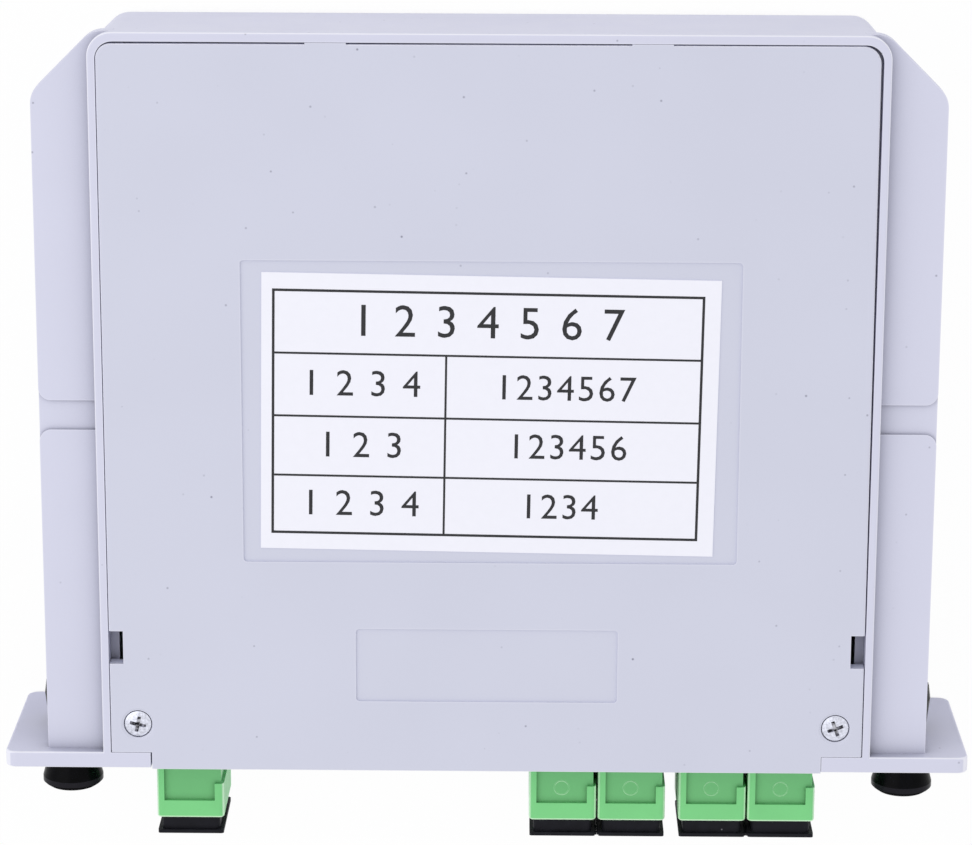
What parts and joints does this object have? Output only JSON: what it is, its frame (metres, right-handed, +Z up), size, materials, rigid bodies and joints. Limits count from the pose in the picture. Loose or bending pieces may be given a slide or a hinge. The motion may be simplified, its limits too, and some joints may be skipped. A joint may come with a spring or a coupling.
{
  "type": "plc fibre splitter cassette",
  "caption": "Plug-in optical splitter cassette: a flat screwed plastic box with side rails, an eared front panel, push rivets and capped push-pull fibre ports.",
  "frame": {"origin": "middle of the flat underside, half way between the front face of the panel and the rear wall", "axes": "+X along the front panel to the right seen from the cover with the ports towards the viewer, +Y from the panel to the rear wall, +Z up from the underside to the cover"},
  "size_m": [0.13, 0.1117, 0.025],
  "materials": {
    "housing": "moulded ABS, pale lilac grey, fine satin",
    "label": "white paper label",
    "screw": "nickel-plated steel",
    "rivet": "black nylon, semi-gloss",
    "adapter": "moulded plastic, light green",
    "holder": "natural moulded plastic",
    "ceramic": "polished white zirconia",
    "plug": "moulded plastic, green",
    "boot": "soft green elastomer",
    "cap": "black soft plastic",
    "module": "drawn stainless tube",
    "seal": "black rubber end seal",
    "fibre": "white 0.9 mm tight buffer"
  },
  "bodies": {
    "root": {"housing_base": "housing", "cover": "housing", "label": "label", "cover_screw_left": "screw", "cover_screw_right": "screw", "grommet_left": "rivet", "grommet_right": "rivet", "module_case": "module", "module_boot_input": "seal", "module_boot_output": "seal", "adapter_front_input": "adapter", "adapter_rear_input": "adapter", "sleeve_holder_input": "holder", "sleeve_input": "ceramic", "ferrule_input": "ceramic", "plug_input": "plug", "boot_input": "boot", "fibre_input": "fibre", "adapter_front_output_1": "adapter", "adapter_rear_output_1": "adapter", "sleeve_holder_output_1": "holder", "sleeve_output_1": "ceramic", "ferrule_output_1": "ceramic", "plug_output_1": "plug", "boot_output_1": "boot", "fibre_output_1": "fibre", "adapter_front_output_2": "adapter", "adapter_rear_output_2": "adapter", "sleeve_holder_output_2": "holder", "sleeve_output_2": "ceramic", "ferrule_output_2": "ceramic", "plug_output_2": "plug", "boot_output_2": "boot", "fibre_output_2": "fibre", "adapter_front_output_3": "adapter", "adapter_rear_output_3": "adapter", "sleeve_holder_output_3": "holder", "sleeve_output_3": "ceramic", "ferrule_output_3": "ceramic", "plug_output_3": "plug", "boot_output_3": "boot", "fibre_output_3": "fibre", "adapter_front_output_4": "adapter", "adapter_rear_output_4": "adapter", "sleeve_holder_output_4": "holder", "sleeve_output_4": "ceramic", "ferrule_output_4": "ceramic", "plug_output_4": "plug", "boot_output_4": "boot", "fibre_output_4": "fibre"},
    "plunger_left": {"plunger_left": "rivet"},
    "plunger_right": {"plunger_right": "rivet"},
    "cap_input": {"dust_cap_input": "cap"},
    "cap_output_1": {"dust_cap_output_1": "cap"},
    "cap_output_2": {"dust_cap_output_2": "cap"},
    "cap_output_3": {"dust_cap_output_3": "cap"},
    "cap_output_4": {"dust_cap_output_4": "cap"}
  },
  "joints": [
    {"name": "plunger_left_pull", "type": "slide", "parent": "root", "child": "plunger_left", "axis": [0, -1, 0], "range_m": [0, 0.005]},
    {"name": "plunger_right_pull", "type": "slide", "parent": "root", "child": "plunger_right", "axis": [0, -1, 0], "range_m": [0, 0.005]},
    {"name": "cap_input_pull", "type": "slide", "parent": "root", "child": "cap_input", "axis": [0, -1, 0], "range_m": [0, 0.02]},
    {"name": "cap_output_1_pull", "type": "slide", "parent": "root", "child": "cap_output_1", "axis": [0, -1, 0], "range_m": [0, 0.02]},
    {"name": "cap_output_2_pull", "type": "slide", "parent": "root", "child": "cap_output_2", "axis": [0, -1, 0], "range_m": [0, 0.02]},
    {"name": "cap_output_3_pull", "type": "slide", "parent": "root", "child": "cap_output_3", "axis": [0, -1, 0], "range_m": [0, 0.02]},
    {"name": "cap_output_4_pull", "type": "slide", "parent": "root", "child": "cap_output_4", "axis": [0, -1, 0], "range_m": [0, 0.02]}
  ]
}
